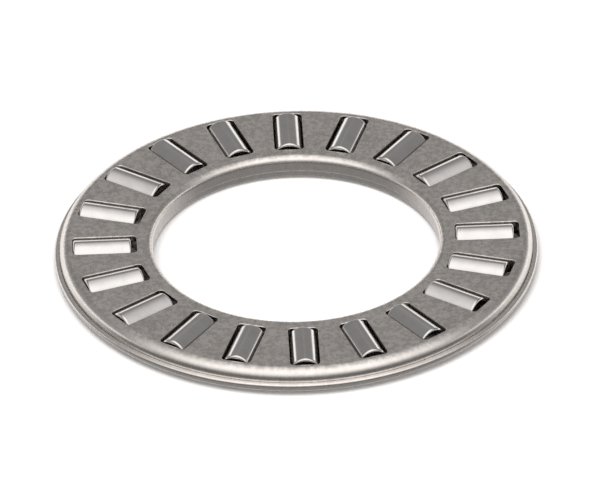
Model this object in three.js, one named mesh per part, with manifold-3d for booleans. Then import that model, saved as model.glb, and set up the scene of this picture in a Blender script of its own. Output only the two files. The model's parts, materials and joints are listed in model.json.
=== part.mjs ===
// Thrust roller-and-cage bearing: cylindrical rollers lie radially in the windows of a flat two-piece
// steel cage. Millimetres, +Z up along the bearing's axis. The origin is on that axis, in the plane
// that the rollers stand on.
import * as THREE from 'three';
import { mergeVertices } from 'three/addons/utils/BufferGeometryUtils.js';
import Module from 'manifold-3d';

const wasm = await Module();
wasm.setup();

// Driving dimensions
const OUTER_DIAMETER = 31.75;
const BORE_DIAMETER = 18.8; // inside the channel's inner wall
const ROLLER_DIAMETER = 1.984;
const ROLLER_COUNT = 20;
const ROLLER_PROTRUSION = 0.262; // how far the rollers stand out of each face of the cage
const FIRST_ROLLER_ANGLE = THREE.MathUtils.degToRad(91.7); // from +X, next to +Y

// Cage sections: the upper half is a drawn channel that stands in the lower half, a ring with a flange
// round its rim
const FLANGE_THICKNESS = 0.32;
const FLANGE_HEIGHT = 0.66; // from the lower half's underside
const FLANGE_ROUNDING = 0.17; // upper edge of the flange
const FLANGE_BEND_RADIUS = 0.47; // outside of the bend between the lower half's face and its flange
const RING_SETBACK = 0.06; // how far the ring's bore stands back from the channel's inner wall
const RING_CHAMFER = 0.06; // edges of that bore
const WALL_THICKNESS = 0.36;
const OUTER_SHOULDER_RADIUS = 0.7;
const OUTER_INSIDE_RADIUS = 0.3; // inside of the same bend
const INNER_SHOULDER_RADIUS = 0.45;

// Windows, measured from the channel's walls
const WINDOW_OUTER_MARGIN = 0.865;
const WINDOW_INNER_MARGIN = 1.05;
const WINDOW_CORNER_RADIUS = 0.28;
const ROLLER_EDGE_BREAK = 0.14; // width of the broken edge at each roller end

// Clearances
const FLANGE_CLEARANCE = 0.02; // between the channel's outer wall and the flange
const FOOT_CLEARANCE = 0.01; // between a wall's foot and the ring under it
const ROLLER_SIDE_CLEARANCE = 0.026; // between a roller and the nearest edges of its window
const RETAINING_LIP = 0.022; // how much a window's half width is less than the roller's radius
const ROLLER_END_CLEARANCE = 0.205; // between a centred roller and each end of its window
const ROLLER_DRIFT = 0.85; // share of the end clearance that the rollers have slid towards -X

// Smoothness
const RING_SEGMENTS = 60;
const ROLLER_SEGMENTS = 24;
const BEND_SEGMENTS = 4;
const CORNER_SEGMENTS = 2;

// Heights over the plane that the rollers stand on
const rollerRadius = ROLLER_DIAMETER / 2;
const cageBottom = ROLLER_PROTRUSION;
const cageTop = ROLLER_DIAMETER - ROLLER_PROTRUSION;

// A roller is held between the two halves' window edges, which lie this far above and below its axis
const retainingHeight = Math.sqrt(
  (rollerRadius + ROLLER_SIDE_CLEARANCE) ** 2 - (rollerRadius - RETAINING_LIP) ** 2
);
const sheetThickness = (cageTop - cageBottom) / 2 - retainingHeight;
const ringTop = cageBottom + sheetThickness;
const flangeTop = cageBottom + FLANGE_HEIGHT;

// Radii from the bearing's axis
const outerRadius = OUTER_DIAMETER / 2;
const boreRadius = BORE_DIAMETER / 2;
const flangeInner = outerRadius - FLANGE_THICKNESS;
const outerWall = flangeInner - FLANGE_CLEARANCE;
const windowOuter = outerWall - WINDOW_OUTER_MARGIN;
const windowInner = boreRadius + WINDOW_INNER_MARGIN;
const pitchRadius = (windowOuter + windowInner) / 2;
const windowLength = windowOuter - windowInner;
const windowWidth = 2 * (rollerRadius - RETAINING_LIP);
const rollerLength = windowLength - 2 * ROLLER_END_CLEARANCE;

const cageSteel = new THREE.MeshStandardMaterial({ color: 0x93918e, roughness: 0.38, metalness: 1 });
const rollerSteel = new THREE.MeshStandardMaterial({ color: 0xd9d8d6, roughness: 0.14, metalness: 1 });

// Points of a quarter circle about (radius, height), from one angle to another
function arcPoints(radius, height, size, from, to) {
  const points = [];
  for (let step = 0; step <= BEND_SEGMENTS; step++) {
    const angle = from + ((to - from) * step) / BEND_SEGMENTS;
    points.push(
      new THREE.Vector2(radius + size * Math.cos(angle), height + size * Math.sin(angle))
    );
  }
  return points;
}

// A ring about +Z from a closed section of (radius, height) points, listed anticlockwise
function ringGeometry(section) {
  const geometry = new THREE.LatheGeometry([...section, section[0].clone()], RING_SEGMENTS);
  return geometry.rotateX(Math.PI / 2);
}

// A solid for boolean work, from a geometry's positions alone
function solidFrom(geometry) {
  const bare = geometry.clone();
  bare.deleteAttribute('normal');
  bare.deleteAttribute('uv');
  const merged = mergeVertices(bare, 1e-5);
  return new wasm.Manifold(
    new wasm.Mesh({
      numProp: 3,
      vertProperties: new Float32Array(merged.attributes.position.array),
      triVerts: new Uint32Array(merged.index.array),
    })
  );
}

function geometryFrom(solid) {
  const mesh = solid.getMesh();
  const geometry = new THREE.BufferGeometry();
  geometry.setAttribute('position', new THREE.BufferAttribute(mesh.vertProperties, 3));
  geometry.setIndex(new THREE.BufferAttribute(mesh.triVerts, 1));
  geometry.computeVertexNormals();
  return geometry;
}

// The rollers run clockwise from the first, seen from above
function rollerAngle(index) {
  return FIRST_ROLLER_ANGLE - (index * 2 * Math.PI) / ROLLER_COUNT;
}

// Outline of one window along +X: a rectangle with rounded corners
function windowShape() {
  const halfWidth = windowWidth / 2;
  const near = windowInner + WINDOW_CORNER_RADIUS;
  const far = windowOuter - WINDOW_CORNER_RADIUS;
  const side = halfWidth - WINDOW_CORNER_RADIUS;
  const shape = new THREE.Shape();
  shape.absarc(far, side, WINDOW_CORNER_RADIUS, 0, Math.PI / 2);
  shape.absarc(near, side, WINDOW_CORNER_RADIUS, Math.PI / 2, Math.PI);
  shape.absarc(near, -side, WINDOW_CORNER_RADIUS, Math.PI, 1.5 * Math.PI);
  shape.absarc(far, -side, WINDOW_CORNER_RADIUS, 1.5 * Math.PI, 2 * Math.PI);
  shape.closePath();
  return shape;
}

// Cuts every roller's window out of a ring
function withWindows(ring) {
  let solid = solidFrom(ring);
  for (let index = 0; index < ROLLER_COUNT; index++) {
    const cutter = new THREE.ExtrudeGeometry(windowShape(), {
      depth: 2 * ROLLER_DIAMETER,
      bevelEnabled: false,
      curveSegments: CORNER_SEGMENTS,
    });
    cutter.translate(0, 0, -rollerRadius);
    cutter.rotateZ(rollerAngle(index));
    solid = solid.subtract(solidFrom(cutter));
  }
  return geometryFrom(solid);
}

// Upper half: a channel, open downwards, with rounded shoulders. Its walls stand on the ring's face.
function upperHalf() {
  const foot = ringTop + FOOT_CLEARANCE;
  const underside = cageTop - sheetThickness;
  const inside = outerWall - WALL_THICKNESS;
  const section = [
    new THREE.Vector2(inside, foot),
    new THREE.Vector2(outerWall, foot),
    ...arcPoints(
      outerWall - OUTER_SHOULDER_RADIUS,
      cageTop - OUTER_SHOULDER_RADIUS,
      OUTER_SHOULDER_RADIUS,
      0,
      Math.PI / 2
    ),
    ...arcPoints(
      boreRadius + INNER_SHOULDER_RADIUS,
      cageTop - INNER_SHOULDER_RADIUS,
      INNER_SHOULDER_RADIUS,
      Math.PI / 2,
      Math.PI
    ),
    new THREE.Vector2(boreRadius, foot),
    new THREE.Vector2(boreRadius + WALL_THICKNESS, foot),
    new THREE.Vector2(boreRadius + WALL_THICKNESS, underside),
    ...arcPoints(
      inside - OUTER_INSIDE_RADIUS,
      underside - OUTER_INSIDE_RADIUS,
      OUTER_INSIDE_RADIUS,
      Math.PI / 2,
      0
    ),
  ];
  const mesh = new THREE.Mesh(withWindows(ringGeometry(section)), cageSteel);
  mesh.name = 'cage_top';
  return mesh;
}

// Lower half: a flat ring whose rim is bent up into a flange outside the channel's outer wall
function lowerHalf() {
  const ringBore = boreRadius + RING_SETBACK;
  const section = [
    new THREE.Vector2(ringBore + RING_CHAMFER, cageBottom),
    ...arcPoints(
      outerRadius - FLANGE_BEND_RADIUS,
      cageBottom + FLANGE_BEND_RADIUS,
      FLANGE_BEND_RADIUS,
      -Math.PI / 2,
      0
    ),
    ...arcPoints(
      outerRadius - FLANGE_ROUNDING,
      flangeTop - FLANGE_ROUNDING,
      FLANGE_ROUNDING,
      0,
      Math.PI / 2
    ),
    new THREE.Vector2(flangeInner, flangeTop),
    new THREE.Vector2(flangeInner, ringTop),
    new THREE.Vector2(ringBore + RING_CHAMFER, ringTop),
    new THREE.Vector2(ringBore, ringTop - RING_CHAMFER),
    new THREE.Vector2(ringBore, cageBottom + RING_CHAMFER),
  ];
  const mesh = new THREE.Mesh(withWindows(ringGeometry(section)), cageSteel.clone());
  mesh.name = 'cage_bottom';
  return mesh;
}

// One roller along +X: its flats touch the true cylinder, and one of them faces straight down
function rollerGeometry() {
  const radius = rollerRadius / Math.cos(Math.PI / ROLLER_SEGMENTS);
  const end = rollerLength / 2;
  const profile = [
    new THREE.Vector2(0, -end),
    new THREE.Vector2(radius - ROLLER_EDGE_BREAK, -end),
    new THREE.Vector2(radius, -end + ROLLER_EDGE_BREAK),
    new THREE.Vector2(radius, end - ROLLER_EDGE_BREAK),
    new THREE.Vector2(radius - ROLLER_EDGE_BREAK, end),
    new THREE.Vector2(0, end),
  ];
  const geometry = new THREE.LatheGeometry(profile, ROLLER_SEGMENTS);
  geometry.rotateY(Math.PI / ROLLER_SEGMENTS);
  return geometry.rotateZ(-Math.PI / 2);
}

function roller(index) {
  const angle = rollerAngle(index);
  const slide = -ROLLER_DRIFT * ROLLER_END_CLEARANCE * Math.cos(angle);
  const radius = pitchRadius + slide;
  const mesh = new THREE.Mesh(rollerGeometry(), rollerSteel.clone());
  mesh.name = `roller_${String(index + 1).padStart(2, '0')}`;
  mesh.position.set(radius * Math.cos(angle), radius * Math.sin(angle), rollerRadius);
  mesh.rotation.z = angle;
  return mesh;
}

const bearing = new THREE.Group();
bearing.add(upperHalf(), lowerHalf());
for (let index = 0; index < ROLLER_COUNT; index++) {
  bearing.add(roller(index));
}

export default bearing;
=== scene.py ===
"""Looks of a thrust roller-and-cage bearing.

Twenty polished rollers lie radially in the windows of a flat two-piece cage. The upper half of the
cage is a channel drawn from sheet steel. It stands in the lower half, a flat ring whose rim is bent
up into a flange outside the channel. Meshes are modelled in millimetres and finished in metres.
"""

import json
import logging
import math
from dataclasses import dataclass, field
from enum import Enum
from typing import Any, Callable, Optional, Sequence, Union

import bmesh
import bpy
from mathutils import Matrix, Vector


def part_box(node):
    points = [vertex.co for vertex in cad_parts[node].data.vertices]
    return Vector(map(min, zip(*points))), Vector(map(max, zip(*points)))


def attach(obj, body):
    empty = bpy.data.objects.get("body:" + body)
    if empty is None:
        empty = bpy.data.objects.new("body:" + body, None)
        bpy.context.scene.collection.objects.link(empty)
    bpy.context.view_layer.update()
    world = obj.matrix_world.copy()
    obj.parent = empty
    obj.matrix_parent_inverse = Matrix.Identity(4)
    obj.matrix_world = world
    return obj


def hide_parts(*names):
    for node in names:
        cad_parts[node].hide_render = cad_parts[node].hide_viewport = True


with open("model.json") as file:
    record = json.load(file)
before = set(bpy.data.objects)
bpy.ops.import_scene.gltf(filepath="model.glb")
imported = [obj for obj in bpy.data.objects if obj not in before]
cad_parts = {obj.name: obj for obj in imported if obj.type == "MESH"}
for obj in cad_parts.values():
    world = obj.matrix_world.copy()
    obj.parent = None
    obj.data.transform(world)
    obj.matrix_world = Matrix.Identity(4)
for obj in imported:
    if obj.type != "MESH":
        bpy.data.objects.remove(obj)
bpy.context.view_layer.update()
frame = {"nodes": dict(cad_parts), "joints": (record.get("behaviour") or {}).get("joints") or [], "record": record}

MM = 1000.0  # millimetres in a metre
NEAR = 1e-3  # millimetres within which two places are the same
OWN_PLACE = "own_place"  # mesh attribute with each point's place on its own roller

# Fits between the rollers and the cage, in millimetres
WINDOW_OUTER_MARGIN = 0.865  # from the channel's outer wall to a window
WINDOW_INNER_MARGIN = 1.05  # from the channel's inner wall to a window
RETAINING_LIP = 0.022  # how much a window's half width is less than a roller's radius
SIDE_CLEARANCE = 0.026  # between a roller and the nearest edges of its window

log = logging.getLogger("bearing")


class Element(Enum):
    """A kind of mesh element that can be selected."""

    VERTEX = "VERT"
    EDGE = "EDGE"
    FACE = "FACE"


class Slot(Enum):
    """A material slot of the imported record."""

    CAGE = "cage_steel"
    ROLLER = "roller_steel"


# ---------------------------------------------------------------- measures taken from the frame


def radius_of(place: Vector) -> float:
    """Distance of a place from the bearing's axis."""
    return math.hypot(place.x, place.y)


@dataclass(frozen=True)
class NodeSpan:
    """How far a round CAD node reaches, in millimetres.

    Attributes:
        inner: Least radius about the bearing's axis.
        outer: Greatest radius about the bearing's axis.
        low: Lowest height.
        high: Highest height.
    """

    inner: float
    outer: float
    low: float
    high: float

    @classmethod
    def of(cls, node: str) -> "NodeSpan":
        """Measures one CAD node.

        Args:
            node: The node's name.

        Returns:
            The node's span.
        """
        radii = [radius_of(vertex.co) * MM for vertex in frame["nodes"][node].data.vertices]
        low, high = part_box(node)
        return cls(min(radii), max(radii), low.z * MM, high.z * MM)


@dataclass(frozen=True)
class RollerSeat:
    """Where one roller lies, read from its joint, in millimetres.

    Attributes:
        body: The body that the roller rides on.
        node: The CAD node that stands for the roller.
        centre: Middle of the roller.
        angle: Direction of its axis about +Z, outwards.
        length: Its length.
        radius: Its radius.
    """

    body: str
    node: str
    centre: Vector
    angle: float
    length: float
    radius: float

    @classmethod
    def of(cls, joint: dict[str, Any]) -> "RollerSeat":
        """Reads a roller's place from its joint and its size from its CAD node.

        Args:
            joint: The joint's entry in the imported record.

        Returns:
            The roller's seat.
        """
        body = joint["child"]
        node = frame["record"]["behaviour"]["bodies"][body][0]
        axis = Vector(joint["axis"]).normalized()
        along = [axis.dot(vertex.co) * MM for vertex in frame["nodes"][node].data.vertices]
        low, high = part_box(node)
        middle = axis * (min(along) + max(along)) / 2
        return cls(
            body=body,
            node=node,
            centre=Vector((middle.x, middle.y, (low.z + high.z) / 2 * MM)),
            angle=math.atan2(axis.y, axis.x),
            length=max(along) - min(along),
            radius=(high.z - low.z) / 2 * MM,
        )


# ---------------------------------------------------------------- modelling with operators


@dataclass(frozen=True)
class Corner:
    """A corner of a section.

    Attributes:
        radius: Distance from the axis.
        height: Height over the floor.
        rounding: Radius that the corner is rounded to; none leaves it sharp.
        segments: Steps of the rounding.
    """

    radius: float
    height: float
    rounding: float = 0.0
    segments: int = 3


@dataclass
class Workpiece:
    """One mesh object, shaped with Blender's own mesh operators, in millimetres.

    Attributes:
        obj: The object.
    """

    obj: bpy.types.Object

    @classmethod
    def started(cls, name: str) -> "Workpiece":
        """Starts a piece from a plane, which the first sketch turns into a single point.

        Args:
            name: The object's name.

        Returns:
            The new piece.
        """
        bpy.ops.object.select_all(action="DESELECT")
        bpy.ops.mesh.primitive_plane_add(size=1.0)
        return cls.named(name)

    @classmethod
    def named(cls, name: str) -> "Workpiece":
        """Names the active object.

        Args:
            name: The name of the object and its mesh.

        Returns:
            The object as a piece.
        """
        made = bpy.context.object
        made.name = made.data.name = name
        return cls(made)

    def choose(self) -> None:
        """Selects this object alone and makes it active."""
        bpy.ops.object.select_all(action="DESELECT")
        self.obj.select_set(True)
        bpy.context.view_layer.objects.active = self.obj

    def copied(self, name: str) -> "Workpiece":
        """Copies the piece, with a mesh of its own.

        Args:
            name: The copy's name.

        Returns:
            The copy.
        """
        self.choose()
        bpy.ops.object.duplicate(linked=False)
        return self.named(name)

    def edit(self) -> None:
        """Goes into edit mode on this object."""
        bpy.context.view_layer.objects.active = self.obj
        bpy.ops.object.mode_set(mode="EDIT")

    def leave(self) -> None:
        """Goes back to object mode."""
        bpy.ops.object.mode_set(mode="OBJECT")

    def pick(self, kind: Element, test: Callable[[Any], bool]) -> int:
        """Selects the elements that pass a test, and nothing else.

        Args:
            kind: Which kind of element is selected.
            test: Says whether an element is wanted.

        Returns:
            How many elements were selected.
        """
        bpy.ops.mesh.select_mode(type=kind.value)
        bpy.ops.mesh.select_all(action="DESELECT")
        mesh = bmesh.from_edit_mesh(self.obj.data)
        elements = {
            Element.VERTEX: mesh.verts,
            Element.EDGE: mesh.edges,
            Element.FACE: mesh.faces,
        }[kind]
        chosen = [element for element in elements if test(element)]
        for element in chosen:
            element.select_set(True)
        mesh.select_flush_mode()
        bmesh.update_edit_mesh(self.obj.data)
        return len(chosen)

    def draw(self, corners: Sequence[Corner], closed: bool) -> None:
        """Draws a section in the XZ plane by extruding a point from corner to corner.

        Args:
            corners: The section's corners in order.
            closed: Whether the section comes back to its first corner.
        """
        bpy.ops.mesh.select_mode(type=Element.VERTEX.value)
        bpy.ops.mesh.select_all(action="SELECT")
        bpy.ops.mesh.merge(type="CENTER")
        bpy.ops.transform.translate(value=(corners[0].radius, 0.0, corners[0].height))
        route = [*corners, corners[0]] if closed else list(corners)
        for start, end in zip(route, route[1:]):
            step = (end.radius - start.radius, 0.0, end.height - start.height)
            bpy.ops.mesh.extrude_vertices_move(TRANSFORM_OT_translate={"value": step})
        self.merge()
        for corner in corners:
            if corner.rounding:
                self.round_corner(corner)

    def round_corner(self, corner: Corner) -> None:
        """Rounds one corner of the section.

        Args:
            corner: The corner, still sharp.
        """
        place = Vector((corner.radius, 0.0, corner.height))
        self.pick(Element.VERTEX, lambda vertex: (vertex.co - place).length < NEAR)
        bpy.ops.mesh.bevel(
            offset=corner.rounding,
            segments=corner.segments,
            affect="VERTICES",
            clamp_overlap=False,
        )

    def sweep(self, angle: float, steps: int, copies: bool = False) -> None:
        """Spins all that there is about +Z, clockwise seen from above.

        Args:
            angle: Whole angle of the spin.
            steps: Steps of the spin.
            copies: Whether each step is a separate copy instead of one swept surface.
        """
        bpy.ops.mesh.select_all(action="SELECT")
        bpy.ops.mesh.spin(
            steps=steps, dupli=copies, angle=angle, center=(0.0, 0.0, 0.0), axis=(0.0, 0.0, 1.0)
        )
        self.merge()

    def merge(self) -> None:
        """Joins the points that lie in one place."""
        bpy.ops.mesh.select_all(action="SELECT")
        bpy.ops.mesh.remove_doubles(threshold=NEAR)

    def face_outwards(self) -> None:
        """Turns every face to the outside."""
        bpy.ops.mesh.select_all(action="SELECT")
        bpy.ops.mesh.normals_make_consistent(inside=False)

    def settle(
        self,
        place: Vector = Vector(),
        turn: tuple[float, float, float] = (0, 0, 0),
        scale: float = 1.0,
    ) -> None:
        """Moves, turns and scales the object, and applies all three to its mesh.

        Args:
            place: New place of the origin.
            turn: Euler angles.
            scale: Scale.
        """
        self.choose()
        self.obj.location = place
        self.obj.rotation_euler = turn
        self.obj.scale = (scale, scale, scale)
        bpy.ops.object.transform_apply(location=True, rotation=True, scale=True)

    def smooth(self, angle: float) -> None:
        """Shades the piece smooth, with its flats kept flat.

        Args:
            angle: Angle between faces past which their edge stays sharp.
        """
        self.choose()
        bpy.ops.object.shade_smooth_by_angle(angle=angle)
        weights = self.obj.modifiers.new("flats", "WEIGHTED_NORMAL")
        weights.keep_sharp = True
        weights.weight = 50
        bpy.ops.object.modifier_apply(modifier=weights.name)


# ---------------------------------------------------------------- cage


@dataclass
class Windows:
    """The roller windows that a ring is pierced with, in millimetres.

    Attributes:
        count: Windows around the ring.
        first_angle: Direction of the first window about +Z.
        inner: Radius at which a window starts.
        outer: Radius at which a window ends.
        width: Width across a window.
        corner: Radius of its corners in plan.
        edge: Radius of the edges that the punch has drawn over.
        corner_segments: Steps of a corner.
        edge_segments: Steps of an edge's rounding.
    """

    count: int
    first_angle: float
    inner: float
    outer: float
    width: float
    corner: float = 0.28
    edge: float = 0.05
    corner_segments: int = 5
    edge_segments: int = 3

    @property
    def pitch(self) -> float:
        """Angle from one window to the next."""
        return 2 * math.pi / self.count


@dataclass
class PiercedRing:
    """Half of the cage: a section spun about the axis, with windows through its web.

    One pitch of the ring is modelled round one window, and the ring is made of copies of it.

    Attributes:
        name: The piece's name.
        node: The CAD node that it stands for.
        section: Corners of the section, anticlockwise.
        web_low: Height of the web's lower face.
        web_high: Height of the web's upper face.
        windows: The windows.
        columns: Steps of the spin in one pitch.
        bands: Steps across the web where a window goes.
        margin_outer: Web kept outside the window before the window is joined to it.
        margin_inner: The same on the inside.
        overshoot: How far a window's wall stands past the web until it is joined to it.
        smooth_angle: Angle between faces past which an edge stays sharp.
        work: The mesh in progress.
    """

    name: str
    node: str
    section: list[Corner]
    web_low: float
    web_high: float
    windows: Windows
    columns: int = 18
    bands: int = 12
    margin_outer: float = 0.13
    margin_inner: float = 0.25
    overshoot: float = 0.5
    smooth_angle: float = math.radians(40)
    work: Optional[Workpiece] = field(default=None, init=False)

    @property
    def web_inner(self) -> float:
        """Radius at which the stretch of web round a window starts."""
        return self.windows.inner - self.margin_inner

    @property
    def web_outer(self) -> float:
        """Radius at which the stretch of web round a window ends."""
        return self.windows.outer + self.margin_outer

    def build(self) -> bpy.types.Object:
        """Models the half cage.

        Returns:
            The finished object, in metres.
        """
        self.work = Workpiece.started(self.name)
        self.work.edit()
        self.work.draw(self.section, closed=True)
        self.divide_web()
        self.work.leave()
        self.work.settle(turn=(0, 0, self.windows.pitch / 2))
        self.work.edit()
        self.work.sweep(self.windows.pitch, self.columns)
        self.pierce()
        self.work.face_outwards()
        turned = self.windows.count - 1
        self.work.sweep(turned * self.windows.pitch, turned, copies=True)
        self.work.face_outwards()
        self.work.leave()
        self.work.smooth(self.smooth_angle)
        self.work.settle(turn=(0, 0, self.windows.first_angle), scale=1 / MM)
        return self.work.obj

    def divide_web(self) -> None:
        """Divides the section's two long edges across the web into even bands."""

        def spans_web(edge: bmesh.types.BMEdge) -> bool:
            """Whether an edge runs right across the stretch of web."""
            radii = sorted(vertex.co.x for vertex in edge.verts)
            return (
                abs(radii[0] - self.web_inner) < NEAR and abs(radii[1] - self.web_outer) < NEAR
            )

        self.work.pick(Element.EDGE, spans_web)
        bpy.ops.mesh.subdivide(number_cuts=self.bands - 1)

    def pierce(self) -> None:
        """Cuts one window through the web and rounds its edges."""
        side = self.windows.pitch * (0.5 - 1 / self.columns)

        def round_window(place: Vector) -> bool:
            """Whether a place is in the stretch of web that the window goes through."""
            return (
                self.web_inner - NEAR < radius_of(place) < self.web_outer + NEAR
                and abs(math.atan2(place.y, place.x)) < side + NEAR / self.web_outer
            )

        def in_web(face: bmesh.types.BMFace) -> bool:
            """Whether a face is in that stretch and lies level."""
            return abs(face.normal.z) > 0.99 and all(round_window(v.co) for v in face.verts)

        self.work.pick(Element.FACE, in_web)
        bpy.ops.mesh.delete(type="FACE")
        self.add_window_wall()
        for height, level in self.wall_ends():

            def on_rim(
                edge: bmesh.types.BMEdge, heights: tuple[float, float] = (height, level)
            ) -> bool:
                """Whether an edge is on the hole's rim or on the wall's end above it."""
                return edge.is_boundary and any(
                    all(abs(v.co.z - z) < NEAR and round_window(v.co) for v in edge.verts)
                    for z in heights
                )

            self.work.pick(Element.EDGE, on_rim)
            bpy.ops.mesh.bridge_edge_loops()

            def on_wall_end(vertex: bmesh.types.BMVert, level: float = level) -> bool:
                """Whether a point is on the wall's end."""
                return abs(vertex.co.z - level) < NEAR and round_window(vertex.co)

            self.work.pick(Element.VERTEX, on_wall_end)
            bpy.ops.transform.translate(value=(0.0, 0.0, height - level))
        self.round_edges()

    def wall_ends(self) -> list[tuple[float, float]]:
        """Where the window's wall ends before and after it is joined to the web.

        Returns:
            For the upper and the lower end, the web's face and the end's height before the joining.
        """
        return [
            (self.web_high, self.web_high + self.overshoot),
            (self.web_low, self.web_low - self.overshoot),
        ]

    def add_window_wall(self) -> None:
        """Adds the window's wall: the outline of a rounded plane, extruded through the web."""
        windows = self.windows
        length = windows.outer - windows.inner
        (_, start), (_, end) = self.wall_ends()
        middle = ((windows.outer + windows.inner) / 2, 0.0, start)
        bpy.ops.mesh.primitive_plane_add(size=1.0, location=middle)
        bpy.ops.transform.resize(value=(length, windows.width, 1.0), center_override=middle)
        bpy.ops.mesh.bevel(
            offset=windows.corner, segments=windows.corner_segments, affect="VERTICES"
        )
        self.work.pick(
            Element.FACE, lambda face: all(self.on_outline(v.co) for v in face.verts)
        )
        bpy.ops.mesh.delete(type="ONLY_FACE")
        border = 2 * (self.columns - 2 + self.bands)
        cuts_across = (border - 4 * windows.corner_segments) // 2 - self.bands - 1
        for reach, cuts in ((length, self.bands - 1), (windows.width, cuts_across)):
            straight = reach - 2 * windows.corner

            def is_side(edge: bmesh.types.BMEdge, straight: float = straight) -> bool:
                """Whether an edge is one of the outline's straight sides."""
                return edge.is_wire and abs(edge.calc_length() - straight) < NEAR

            self.work.pick(Element.EDGE, is_side)
            bpy.ops.mesh.subdivide(number_cuts=cuts)
        self.work.pick(Element.EDGE, lambda edge: edge.is_wire)
        bpy.ops.mesh.extrude_region_move(
            TRANSFORM_OT_translate={"value": (0.0, 0.0, end - start)}
        )

    def on_outline(self, place: Vector) -> bool:
        """Whether a place is on a window's outline, seen from above.

        Args:
            place: The place, with the window along +X.

        Returns:
            True on the outline.
        """
        windows = self.windows
        middle = (windows.outer + windows.inner) / 2
        across = abs(place.y) - (windows.width / 2 - windows.corner)
        along = abs(place.x - middle) - ((windows.outer - windows.inner) / 2 - windows.corner)
        outside = math.hypot(max(across, 0.0), max(along, 0.0)) + min(max(across, along), 0.0)
        return abs(outside - windows.corner) < 10 * NEAR

    def round_edges(self) -> None:
        """Rounds the window's edge on both faces of the web."""

        def is_edge(edge: bmesh.types.BMEdge) -> bool:
            """Whether an edge is where the window's wall meets a face of the web."""
            heights = [vertex.co.z for vertex in edge.verts]
            return (
                abs(heights[0] - heights[1]) < NEAR
                and min(abs(heights[0] - h) for h in (self.web_low, self.web_high)) < NEAR
                and all(self.on_outline(vertex.co) for vertex in edge.verts)
            )

        self.work.pick(Element.EDGE, is_edge)
        bpy.ops.mesh.bevel(
            offset=self.windows.edge, segments=self.windows.edge_segments, affect="EDGES"
        )


@dataclass
class Cage:
    """The two-piece cage, in millimetres.

    Attributes:
        upper: Span of the upper half's CAD node.
        lower: Span of the lower half's CAD node.
        windows: The roller windows.
        sheet: Thickness of both webs.
        wall: Thickness of the channel's walls.
        outer_shoulder: Outside of the bend at the channel's outer wall.
        outer_inside: Inside of that bend.
        inner_shoulder: Outside of the bend at the channel's inner wall.
        inner_inside: Inside of that bend.
        foot_edge: Rounding of the walls' feet.
        flange_rounding: Upper edge of the flange.
        flange_bend: Outside of the bend between the ring and its flange.
        flange_edge: Inner upper edge of the flange.
        flange_clearance: Gap between the channel's outer wall and the flange.
        low_edge: Edges of the lower half's bore.
        foot_clearance: Gap between a wall's foot and the ring.
    """

    upper: NodeSpan
    lower: NodeSpan
    windows: Windows
    sheet: float
    wall: float = 0.36
    outer_shoulder: float = 0.70
    outer_inside: float = 0.30
    inner_shoulder: float = 0.45
    inner_inside: float = 0.08
    foot_edge: float = 0.05
    flange_rounding: float = 0.17
    flange_bend: float = 0.47
    flange_edge: float = 0.03
    flange_clearance: float = 0.02
    low_edge: float = 0.055
    foot_clearance: float = 0.01

    @property
    def ring_top(self) -> float:
        """Height of the lower half's upper face."""
        return self.lower.low + self.sheet

    def channel(self) -> PiercedRing:
        """The upper half: a channel, open downwards.

        Returns:
            The half, ready to be built.
        """
        top, foot = self.upper.high, self.ring_top + self.foot_clearance
        underside = top - self.sheet
        outer, inner = self.upper.outer, self.upper.inner
        ring = PiercedRing("channel", "cage_top", [], underside, top, self.windows)
        ring.section = [
            Corner(outer - self.wall, foot, self.foot_edge),
            Corner(outer, foot, self.foot_edge),
            Corner(outer, top, self.outer_shoulder, 14),
            Corner(ring.web_outer, top),
            Corner(ring.web_inner, top),
            Corner(inner, top, self.inner_shoulder, 10),
            Corner(inner, foot, self.foot_edge),
            Corner(inner + self.wall, foot, self.foot_edge),
            Corner(inner + self.wall, underside, self.inner_inside),
            Corner(ring.web_inner, underside),
            Corner(ring.web_outer, underside),
            Corner(outer - self.wall, underside, self.outer_inside, 6),
        ]
        return ring

    def base(self) -> PiercedRing:
        """The lower half: a flat ring whose rim is bent up into a flange outside the channel.

        Returns:
            The half, ready to be built.
        """
        bottom, top, rim = self.lower.low, self.ring_top, self.lower.high
        flange_inner = self.upper.outer + self.flange_clearance
        ring = PiercedRing("base_ring", "cage_bottom", [], bottom, top, self.windows)
        ring.section = [
            Corner(self.lower.inner, bottom, self.low_edge),
            Corner(ring.web_inner, bottom),
            Corner(ring.web_outer, bottom),
            Corner(self.lower.outer, bottom, self.flange_bend, 10),
            Corner(self.lower.outer, rim, self.flange_rounding, 8),
            Corner(flange_inner, rim, self.flange_edge),
            Corner(flange_inner, top),
            Corner(ring.web_outer, top),
            Corner(ring.web_inner, top),
            Corner(self.lower.inner, top, self.low_edge),
        ]
        return ring

    def build(self, finish: "Finish") -> None:
        """Models and dresses both halves.

        Args:
            finish: The cage's finish.
        """
        for half in (self.channel(), self.base()):
            piece = half.build()
            dress(piece, "cage", half.node, finish)


# ---------------------------------------------------------------- rollers


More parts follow.
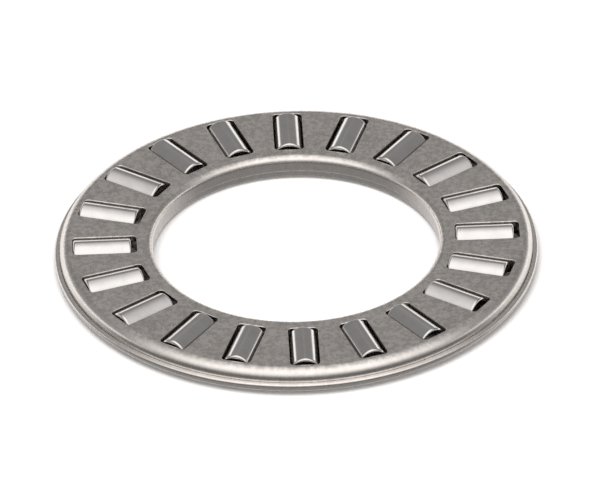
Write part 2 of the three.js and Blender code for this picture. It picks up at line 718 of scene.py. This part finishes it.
@dataclass
class RollerSet:
    """The rollers: one is modelled, and each seat gets a copy of it.

    Attributes:
        seats: Where the rollers lie.
        edge: Radius of the round between a roller's barrel and its ends.
        edge_segments: Steps of that round.
        facets: Steps round the barrel.
        smooth_angle: Angle between faces past which an edge stays sharp.
    """

    seats: list[RollerSeat]
    edge: float = 0.14
    edge_segments: int = 6
    facets: int = 72
    smooth_angle: float = math.radians(50)

    def model(self) -> Workpiece:
        """Models one roller along +X, at the origin.

        Returns:
            The roller, in millimetres.
        """
        seat = self.seats[0]
        end = seat.length / 2
        work = Workpiece.started("roller_pattern")
        work.edit()
        work.draw(
            [
                Corner(0.0, -end),
                Corner(seat.radius, -end, self.edge, self.edge_segments),
                Corner(seat.radius, end, self.edge, self.edge_segments),
                Corner(0.0, end),
            ],
            closed=False,
        )
        work.sweep(2 * math.pi, self.facets)
        work.face_outwards()
        work.leave()
        work.settle(turn=(0, math.pi / 2, 0))
        work.smooth(self.smooth_angle)
        return work

    def remember_place(self, mesh: bpy.types.Mesh) -> None:
        """Keeps each point's place on the roller, so its grinding lines follow the barrel.

        Args:
            mesh: The roller's mesh, along +X, in millimetres.
        """
        places = mesh.attributes.new(OWN_PLACE, "FLOAT_VECTOR", "POINT")
        places.data.foreach_set("vector", [c for vertex in mesh.vertices for c in vertex.co])

    def build(self, finish: "Finish") -> None:
        """Models the rollers and dresses them.

        Args:
            finish: The rollers' finish.
        """
        pattern = self.model()
        self.remember_place(pattern.obj.data)
        for number, seat in enumerate(self.seats, start=1):
            copy = pattern.copied(f"needle_{number:02d}")
            copy.settle(turn=(0, 0, seat.angle))
            copy.settle(place=seat.centre / MM, scale=1 / MM)
            dress(copy.obj, seat.body, seat.node, finish)
        bpy.data.objects.remove(pattern.obj)


# ---------------------------------------------------------------- shader maths


class Term:
    """A socket's value in a shader expression."""

    def __init__(self, maker: "ShaderMaker", socket: bpy.types.NodeSocket) -> None:
        """Wraps a socket.

        Args:
            maker: The maker of the material that the socket is in.
            socket: An output socket.
        """
        self.maker = maker
        self.socket = socket

    def _math(self, operation: str, *values: "Number") -> "Term":
        """Adds a Math node on these values."""
        return self.maker.node("ShaderNodeMath", {"operation": operation}, dict(enumerate(values)))

    def __add__(self, other: "Number") -> "Term":
        """Sum."""
        return self._math("ADD", self, other)

    def __radd__(self, other: "Number") -> "Term":
        """Sum, reflected."""
        return self._math("ADD", other, self)

    def __sub__(self, other: "Number") -> "Term":
        """Difference."""
        return self._math("SUBTRACT", self, other)

    def __rsub__(self, other: "Number") -> "Term":
        """Difference, reflected."""
        return self._math("SUBTRACT", other, self)

    def __mul__(self, other: "Number") -> "Term":
        """Product."""
        return self._math("MULTIPLY", self, other)

    def __rmul__(self, other: "Number") -> "Term":
        """Product, reflected."""
        return self._math("MULTIPLY", other, self)

    def step(self, low: float, high: float) -> "Term":
        """Smooth rise from 0 to 1.

        Args:
            low: Value at which it starts.
            high: Value at which it ends.

        Returns:
            The risen value.
        """
        return self.maker.node(
            "ShaderNodeMapRange",
            {"interpolation_type": "SMOOTHSTEP", "clamp": True},
            {"Value": self, "From Min": low, "From Max": high},
        )

    def most(self, other: "Number") -> "Term":
        """The greater of two values."""
        return self._math("MAXIMUM", self, other)

    def size(self) -> "Term":
        """The value without its sign."""
        return self._math("ABSOLUTE", self)


Number = Union[Term, float]
Colour = tuple[float, float, float, float]
Rise = tuple[float, float]  # where a smooth change starts and ends


def between(low: Number, high: Number, share: Number) -> Term:
    """A value between two others."""
    return low + (high - low) * share


class ShaderMaker:
    """Builds one node tree."""

    def __init__(self, tree: bpy.types.NodeTree) -> None:
        """Empties a node tree.

        Args:
            tree: The tree of a material or of the world.
        """
        self.tree = tree
        tree.nodes.clear()

    def node(
        self,
        kind: str,
        settings: Optional[dict[str, Any]] = None,
        inputs: Optional[dict[Union[int, str], Any]] = None,
        output: Union[int, str] = 0,
    ) -> Term:
        """Adds a node.

        Args:
            kind: The node's type.
            settings: Its properties, which are set first.
            inputs: Values or terms of its sockets, by name or number.
            output: The output that is wanted, by name or number.

        Returns:
            That output.
        """
        made = self.tree.nodes.new(kind)
        for key, value in (settings or {}).items():
            setattr(made, key, value)
        for key, value in (inputs or {}).items():
            if isinstance(value, Term):
                self.tree.links.new(value.socket, made.inputs[key])
            else:
                made.inputs[key].default_value = value
        if not made.outputs:
            return Term(self, None)
        return Term(self, made.outputs[output])

    def object_place(self) -> Term:
        """Object coordinates, which are the bearing's own, in metres."""
        return self.node("ShaderNodeTexCoord", output="Object")

    def along(self, vector: Term, axis: str) -> Term:
        """One component of a vector: "X", "Y" or "Z"."""
        return self.node("ShaderNodeSeparateXYZ", {}, {"Vector": vector}, output=axis)

    def mapped(
        self,
        place: Term,
        scale: tuple[float, float, float],
        turn: tuple[float, float, float] = (0, 0, 0),
    ) -> Term:
        """Coordinates, turned and then scaled.

        Args:
            place: The coordinates.
            scale: Scale along each axis.
            turn: Euler angles.

        Returns:
            The new coordinates.
        """
        turned = self.node("ShaderNodeMapping", {}, {"Vector": place, "Rotation": turn})
        return self.node("ShaderNodeMapping", {}, {"Vector": turned, "Scale": scale})

    def noise(self, place: Term, detail: float = 2.0, roughness: float = 0.5) -> Term:
        """Noise with grains one unit across.

        Args:
            place: Coordinates.
            detail: Octaves.
            roughness: Weight of the finer octaves.

        Returns:
            The noise, about 0.5.
        """
        return self.node(
            "ShaderNodeTexNoise",
            {},
            {"Vector": place, "Scale": 1.0, "Detail": detail, "Roughness": roughness},
        )

    def mix_colour(
        self, factor: Number, low: Union[Term, Colour], high: Union[Term, Colour]
    ) -> Term:
        """Mixes two colours.

        Args:
            factor: Share of the second colour.
            low: First colour.
            high: Second colour.

        Returns:
            The mixed colour.
        """
        return self.node(
            "ShaderNodeMix",
            {"data_type": "RGBA"},
            {"Factor": factor, 6: low, 7: high},
            output=2,
        )


# ---------------------------------------------------------------- finishes


@dataclass(frozen=True)
class Finish:
    """A steel finish; grains and scratches are in millimetres.

    Attributes:
        name: The material's name.
        colour: Colour of the clean metal.
        stain: Colour of its darker patches.
        rough: Roughness of the clean metal.
    """

    name: str
    colour: Colour
    stain: Colour
    rough: float

    def shade(self, maker: ShaderMaker) -> None:
        """Fills the material's node tree.

        Args:
            maker: The maker of the material.
        """
        raise NotImplementedError

    def material(self) -> bpy.types.Material:
        """Makes the material.

        Returns:
            The material.
        """
        made = bpy.data.materials.new(self.name)
        made.use_nodes = True
        self.shade(ShaderMaker(made.node_tree))
        return made

    def close(
        self,
        maker: ShaderMaker,
        colour: Term,
        rough: Term,
        height: Term,
        strength: float,
        depth: float,
    ) -> None:
        """Joins colour, roughness and relief to the surface.

        Args:
            maker: The maker of the material.
            colour: Colour over the surface.
            rough: Roughness over the surface.
            height: Relief, from 0 to 1.
            strength: How much of the relief is taken.
            depth: Depth of the relief in millimetres.
        """
        normal = maker.node(
            "ShaderNodeBump",
            {},
            {"Height": height, "Strength": strength, "Distance": depth / MM},
        )
        surface = maker.node(
            "ShaderNodeBsdfPrincipled",
            {},
            {"Base Color": colour, "Metallic": 1.0, "Roughness": rough, "Normal": normal},
        )
        maker.node("ShaderNodeOutputMaterial", {}, {"Surface": surface})


@dataclass(frozen=True)
class PressedSteel(Finish):
    """Cold-rolled sheet, pressed and then tumbled: a satin grain with fine stray scratches.

    Painted shade, with some oil, darkens the windows' walls and what lies between the two webs.

    Attributes:
        cage: The cage that the finish is for; it says where the flat and the windows are.
        shade_and_oil: Colour of the painted shade and oil in the windows.
        shade_and_oil_start: Distance from a face or a window at which the painted shade and oil start.
        shade_and_oil_full: Distance at which it is darkest.
        burnish: How much of the mottling the dies have left on the bends and walls.
        flat_start: Depth under the flat from which the mottling comes back.
        flat_full: Depth at which it is all there.
        grain: Size of the grain.
        mottle: Size of the mottling.
        patch: Size of the broad patches.
        grain_detail, grain_mix: Octaves of the grain, and the weight of its finer ones.
        mottle_detail, mottle_mix: The same for the mottling.
        patch_detail, patch_mix: The same for the patches.
        patch_rise, mottle_rise: Noise between which the stain comes up.
        patch_tone, mottle_tone: Share of the stain that each brings.
        scratch_length, scratch_width, scratch_height: Size of a scratch.
        scratch_turns: Directions of the scratches about +Z.
        scratch_detail, scratch_mix: Octaves of the scratches, and the weight of the finer ones.
        scratch_rise: Noise between which a scratch comes up.
        rough_patch, rough_grain, rough_scratch: How far each changes the roughness.
        relief_grain, relief_patch, relief_scratch: Share of the relief that each has.
        relief: How much of the relief is taken.
        relief_depth: Depth of the relief.
    """

    cage: "Cage"
    shade_and_oil: Colour
    shade_and_oil_start: float = 0.03
    shade_and_oil_full: float = 0.09
    burnish: float = 0.3
    flat_start: float = 0.15
    flat_full: float = 0.02
    grain: float = 0.09
    mottle: float = 0.32
    patch: float = 2.2
    grain_detail: float = 3.0
    grain_mix: float = 0.6
    mottle_detail: float = 2.0
    mottle_mix: float = 0.6
    patch_detail: float = 3.0
    patch_mix: float = 0.55
    patch_rise: Rise = (0.35, 0.7)
    mottle_rise: Rise = (0.38, 0.62)
    patch_tone: float = 0.35
    mottle_tone: float = 0.65
    scratch_length: float = 1.6
    scratch_width: float = 0.03
    scratch_height: float = 0.15
    scratch_turns: tuple[float, ...] = (0.35, 1.35, 2.45)
    scratch_detail: float = 1.0
    scratch_mix: float = 0.4
    scratch_rise: Rise = (0.66, 0.74)
    rough_patch: float = 0.16
    rough_grain: float = 0.10
    rough_scratch: float = 0.06
    relief_grain: float = 0.7
    relief_patch: float = 0.3
    relief_scratch: float = 0.35
    relief: float = 0.35
    relief_depth: float = 0.008

    def shade(self, maker: ShaderMaker) -> None:
        """Fills the material's node tree.

        Args:
            maker: The maker of the material.
        """
        place = maker.mapped(maker.object_place(), (MM, MM, MM))
        grain = self.speckle(maker, self.grain, self.grain_detail, self.grain_mix)
        mottle = self.speckle(maker, self.mottle, self.mottle_detail, self.mottle_mix)
        patch = self.speckle(maker, self.patch, self.patch_detail, self.patch_mix)
        scratches = self.scratches(maker)
        stain = self.patch_tone * patch.step(*self.patch_rise)
        stain = stain + self.mottle_tone * mottle.step(*self.mottle_rise)
        colour = maker.mix_colour(stain * self.unburnished(maker, place), self.colour, self.stain)
        # painted shade, with some oil: the windows' walls and the faces between the two webs are mixed towards a
        # dark colour
        colour = maker.mix_colour(self.shade_and_oil_mask(maker, place), colour, self.shade_and_oil)
        rough = self.rough + self.rough_patch * (patch - 0.5) + self.rough_grain * (grain - 0.5)
        rough = rough - self.rough_scratch * scratches
        height = self.relief_grain * grain + self.relief_patch * patch
        height = height - self.relief_scratch * scratches
        self.close(maker, colour, rough, height, self.relief, self.relief_depth)

    def speckle(self, maker: ShaderMaker, size: float, detail: float, mix: float) -> Term:
        """Even noise all over the cage.

        Args:
            maker: The maker of the material.
            size: Size of its grains in millimetres.
            detail: Octaves.
            mix: Weight of the finer octaves.

        Returns:
            The noise, about 0.5.
        """
        place = maker.mapped(maker.object_place(), (MM / size, MM / size, MM / size))
        return maker.noise(place, detail, mix)

    def scratches(self, maker: ShaderMaker) -> Term:
        """Fine scratches in a few directions.

        Args:
            maker: The maker of the material.

        Returns:
            1 in a scratch, and 0 beside it.
        """
        stretch = (MM / self.scratch_length, MM / self.scratch_width, MM / self.scratch_height)
        found: Optional[Term] = None
        for turn in self.scratch_turns:
            place = maker.mapped(maker.object_place(), stretch, (0, 0, turn))
            lines = maker.noise(place, self.scratch_detail, self.scratch_mix)
            scratch = lines.step(*self.scratch_rise)
            found = scratch if found is None else found.most(scratch)
        return found

    def unburnished(self, maker: ShaderMaker, place: Term) -> Term:
        """How much of the mottling is left: all of it on the flat, less on the bends and walls.

        Args:
            maker: The maker of the material.
            place: Coordinates in millimetres.

        Returns:
            The share that is left.
        """
        top = self.cage.upper.high
        flat = maker.along(place, "Z").step(top - self.flat_start, top - self.flat_full)
        return between(self.burnish, 1.0, flat)

    def shade_and_oil_mask(self, maker: ShaderMaker, place: Term) -> Term:
        """Where painted shade, with some oil, darkens the metal between the webs' faces across the windows.

        Args:
            maker: The maker of the material.
            place: Coordinates in millimetres.

        Returns:
            How dark it is, from 0 to 1.
        """
        upper, lower, windows = self.cage.upper, self.cage.lower, self.cage.windows
        height = maker.along(place, "Z")
        plan = maker.node("ShaderNodeMapping", {}, {"Vector": place, "Scale": (1, 1, 0)})
        radius = maker.node(
            "ShaderNodeVectorMath", {"operation": "LENGTH"}, {0: plan}, output="Value"
        )
        # the mask of the painted shade and oil: between the two webs' outer faces, within the windows' radii
        above = height.step(lower.low + self.shade_and_oil_start, lower.low + self.shade_and_oil_full)
        below = 1 - height.step(upper.high - self.shade_and_oil_full, upper.high - self.shade_and_oil_start)
        outside = radius.step(windows.inner - self.shade_and_oil_full, windows.inner - self.shade_and_oil_start)
        inside = 1 - radius.step(windows.outer + self.shade_and_oil_start, windows.outer + self.shade_and_oil_full)
        return above * below * outside * inside


@dataclass(frozen=True)
class GroundSteel(Finish):
    """Ground and polished roller steel: bright, with faint lines round the barrel.

    Attributes:
        line: Spacing of the lines.
        wander: How far a line runs before it changes.
        patch: Size of the cloudy patches.
        patch_rise: Noise between which the stain comes up.
        line_mix, patch_mix: Weight of the finer octaves of each.
        detail: Octaves of both.
        rough_line, rough_patch: How far each changes the roughness.
        relief: How much of the relief is taken.
        relief_depth: Depth of the relief.
    """

    line: float = 0.035
    wander: float = 3.0
    patch: float = 0.9
    patch_rise: Rise = (0.4, 0.75)
    line_mix: float = 0.6
    patch_mix: float = 0.5
    detail: float = 2.0
    rough_line: float = 0.07
    rough_patch: float = 0.05
    relief: float = 0.2
    relief_depth: float = 0.0015

    def shade(self, maker: ShaderMaker) -> None:
        """Fills the material's node tree.

        Args:
            maker: The maker of the material.
        """
        own = maker.node("ShaderNodeAttribute", {"attribute_name": OWN_PLACE}, output="Vector")
        stretch = (1 / self.line, 1 / self.wander, 1 / self.wander)
        lines = maker.noise(maker.mapped(own, stretch), self.detail, self.line_mix)
        spread = MM / self.patch
        place = maker.mapped(maker.object_place(), (spread, spread, spread))
        patch = maker.noise(place, self.detail, self.patch_mix)
        colour = maker.mix_colour(patch.step(*self.patch_rise), self.colour, self.stain)
        rough = self.rough + self.rough_line * (lines - 0.5) + self.rough_patch * (patch - 0.5)
        self.close(maker, colour, rough, lines, self.relief, self.relief_depth)


def dress(piece: bpy.types.Object, body: str, node: str, finish: Finish) -> None:
    """Gives a piece its material and ties it to the frame.

    Args:
        piece: The finished piece.
        body: The body that it rides on.
        node: The CAD node that it stands for.
        finish: Its finish.
    """
    made = bpy.data.materials.get(finish.name) or finish.material()
    piece.data.materials.clear()
    piece.data.materials.append(made)
    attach(piece, body)
    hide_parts(node)
    faces = len(piece.data.polygons)
    log.info("%s rides on %s and stands for %s: %d faces", piece.name, body, node, faces)


# ---------------------------------------------------------------- studio


@dataclass(frozen=True)
class Surround:
    """What the metal mirrors, by direction, with each component of a direction from -1 to 1.

    It is white overhead. A grey panel stands behind the bearing and reaches round its sides, and the
    floor is dark in front and pale behind.

    Attributes:
        tint: Colour of all its light.
        white: Strength of the white.
        panel_grey: Strength where the panel is darkest.
        panel_foot: Heights between which the panel starts.
        panel_shade: How far back or aside its broad shade deepens.
        panel_core: The same for its darkest part.
        core_share: Share of the shade that its darkest part has.
        near_floor: Strength of the floor in front, straight down and towards the horizon.
        near_change: Heights between which that changes.
        far_floor: Strength of the floor behind, straight down and towards the horizon.
        far_change: Heights between which that changes.
        floor_depth: How far back the floor in front turns into the floor behind.
        horizon_front: Heights between which the floor ends in front.
        horizon_back: The same behind.
        horizon_depth: How far back the one turns into the other.
    """

    tint: Colour = (1.0, 0.97, 0.945, 1)
    white: float = 1.20
    panel_grey: float = 0.24
    panel_foot: Rise = (0.15, 0.27)
    panel_shade: Rise = (0.0, 0.95)
    panel_core: Rise = (0.70, 0.84)
    core_share: float = 0.3
    near_floor: Rise = (0.25, 0.12)
    near_change: Rise = (-0.62, -0.25)
    far_floor: Rise = (0.60, 0.95)
    far_change: Rise = (-0.58, -0.35)
    floor_depth: Rise = (-0.2, 0.75)
    horizon_front: Rise = (0.0, 0.8)
    horizon_back: Rise = (-0.05, 0.1)
    horizon_depth: Rise = (-0.6, 0.2)

    def build(self, maker: ShaderMaker) -> None:
        """Fills the world's node tree.

        Args:
            maker: The maker of the world.
        """
        direction = maker.node("ShaderNodeTexCoord", output="Generated")
        height, back = maker.along(direction, "Z"), maker.along(direction, "Y")
        beyond = back + maker.along(direction, "X").size()
        broad, core = beyond.step(*self.panel_shade), beyond.step(*self.panel_core)
        panel = height.step(*self.panel_foot) * between(broad, core, self.core_share)
        sky = between(self.white, self.panel_grey, panel)
        near = between(*self.near_floor, height.step(*self.near_change))
        far = between(*self.far_floor, height.step(*self.far_change))
        ground = between(near, far, back.step(*self.floor_depth))
        above = between(
            height.step(*self.horizon_front),
            height.step(*self.horizon_back),
            back.step(*self.horizon_depth),
        )
        strength = between(ground, sky, above)
        surface = maker.node(
            "ShaderNodeBackground", {}, {"Color": self.tint, "Strength": strength}
        )
        maker.node("ShaderNodeOutputWorld", {}, {"Surface": surface})


@dataclass
class Studio:
    """Floor, light and camera.

    Attributes:
        target: The point of the bearing that the camera and the light are set by.
        surround: What the metal mirrors.
        elevation: Camera's angle over the horizon.
        roll: Camera's turn about its line of sight.
        distance: From the camera's plane to the target, in metres.
        aside: How far right of the target the camera looks, in millimetres.
        above: How far over the target it looks, in millimetres.
        lens: Focal length in millimetres.
        sensor: Width of the sensor in millimetres.
        floor_size: Width of the floor in metres.
        floor_tone: Colour of the floor.
        softbox_size: Width and depth of the overhead light in metres.
        softbox_power: Its power in watts.
        softbox_place: Its place in metres.
    """

    target: Vector
    surround: Surround = Surround()
    elevation: float = math.radians(34.15)
    roll: float = math.radians(-1.25)
    distance: float = 1.0557
    aside: float = 0.2363
    above: float = 1.0634
    lens: float = 965.0
    sensor: float = 36.0
    floor_size: float = 3.0
    floor_tone: Colour = (0.93, 0.93, 0.93, 1)
    softbox_size: tuple[float, float] = (0.5, 0.4)
    softbox_power: float = 3.0
    softbox_place: tuple[float, float, float] = (-0.1, -0.25, 0.7)

    def add_camera(self) -> None:
        """Adds the camera, which looks along +Y and down."""
        back = Vector((0.0, -math.cos(self.elevation), math.sin(self.elevation)))
        level = Vector((1.0, 0.0, 0.0))
        upright = back.cross(level)
        right = level * math.cos(self.roll) + upright * math.sin(self.roll)
        up = upright * math.cos(self.roll) - level * math.sin(self.roll)
        middle = self.target + (right * self.aside + up * self.above) / MM
        data = bpy.data.cameras.new("camera")
        data.lens = self.lens
        data.sensor_width = self.sensor
        data.clip_start = 0.01
        data.clip_end = 10.0
        camera = bpy.data.objects.new("camera", data)
        bpy.context.scene.collection.objects.link(camera)
        turned = Matrix((right, up, back)).transposed().to_4x4()
        camera.matrix_world = Matrix.Translation(middle + back * self.distance) @ turned
        bpy.context.scene.camera = camera

    def add_floor(self) -> None:
        """Adds the pale floor; the metal mirrors the surround's floor in its place."""
        bpy.ops.object.select_all(action="DESELECT")
        bpy.ops.mesh.primitive_plane_add(size=self.floor_size)
        floor = bpy.context.object
        floor.name = "floor"
        material = bpy.data.materials.new("floor_paper")
        material.use_nodes = True
        maker = ShaderMaker(material.node_tree)
        surface = maker.node(
            "ShaderNodeBsdfDiffuse", {}, {"Color": self.floor_tone, "Roughness": 1.0}
        )
        maker.node("ShaderNodeOutputMaterial", {}, {"Surface": surface})
        floor.data.materials.append(material)
        floor.visible_glossy = False

    def add_world(self) -> None:
        """Adds the surround."""
        world = bpy.data.worlds.new("studio")
        bpy.context.scene.world = world
        world.use_nodes = True
        self.surround.build(ShaderMaker(world.node_tree))

    def add_light(self) -> None:
        """Adds one large soft light overhead, which the metal doesn't mirror."""
        data = bpy.data.lights.new("softbox", "AREA")
        data.shape = "RECTANGLE"
        data.size, data.size_y = self.softbox_size
        data.energy = self.softbox_power
        softbox = bpy.data.objects.new("softbox", data)
        bpy.context.scene.collection.objects.link(softbox)
        softbox.visible_glossy = False
        place = Vector(self.softbox_place)
        aimed = (self.target - place).to_track_quat("-Z", "Y").to_matrix().to_4x4()
        softbox.matrix_world = Matrix.Translation(place) @ aimed

    def build(self) -> None:
        """Sets up the whole studio."""
        self.add_floor()
        self.add_world()
        self.add_light()
        self.add_camera()
        bpy.context.scene.view_settings.view_transform = "Standard"


def make_windows(cage_top: NodeSpan, seats: list[RollerSeat]) -> Windows:
    """Works out the windows from the cage's walls and the rollers.

    Args:
        cage_top: Span of the upper half.
        seats: The rollers' seats, clockwise from the first.

    Returns:
        The windows.
    """
    return Windows(
        count=len(seats),
        first_angle=seats[0].angle,
        inner=cage_top.inner + WINDOW_INNER_MARGIN,
        outer=cage_top.outer - WINDOW_OUTER_MARGIN,
        width=2 * (seats[0].radius - RETAINING_LIP),
    )


def sheet_thickness(seat: RollerSeat, cage_top: NodeSpan) -> float:
    """Works out the thickness of the cage's webs, whose window edges hold the rollers.

    Args:
        seat: One roller's seat.
        cage_top: Span of the upper half.

    Returns:
        The thickness.
    """
    clear, half_width = seat.radius + SIDE_CLEARANCE, seat.radius - RETAINING_LIP
    retaining = math.sqrt(clear**2 - half_width**2)
    return cage_top.high - seat.centre.z - retaining


def main() -> None:
    """Builds the bearing and its studio."""
    logging.basicConfig(level=logging.INFO, format="%(name)s: %(message)s")
    seats = [RollerSeat.of(joint) for joint in frame["joints"]]
    upper, lower = NodeSpan.of("cage_top"), NodeSpan.of("cage_bottom")
    cage = Cage(upper, lower, make_windows(upper, seats), sheet_thickness(seats[0], upper))
    cage.build(
        PressedSteel(
            name="pressed_steel",
            colour=(0.93, 0.895, 0.87, 1),
            stain=(0.62, 0.59, 0.565, 1),
            rough=0.27,
            cage=cage,
            # dark colour of the painted shade, with some oil, in the windows
            shade_and_oil=(0.32, 0.30, 0.285, 1),
        )
    )
    RollerSet(seats).build(
        GroundSteel(
            name="ground_steel",
            colour=(0.83, 0.82, 0.815, 1),
            stain=(0.76, 0.75, 0.745, 1),
            rough=0.13,
        )
    )
    Studio(target=Vector((0.0, 0.0, lower.low / MM))).build()


if __name__ == "__main__":
    main()
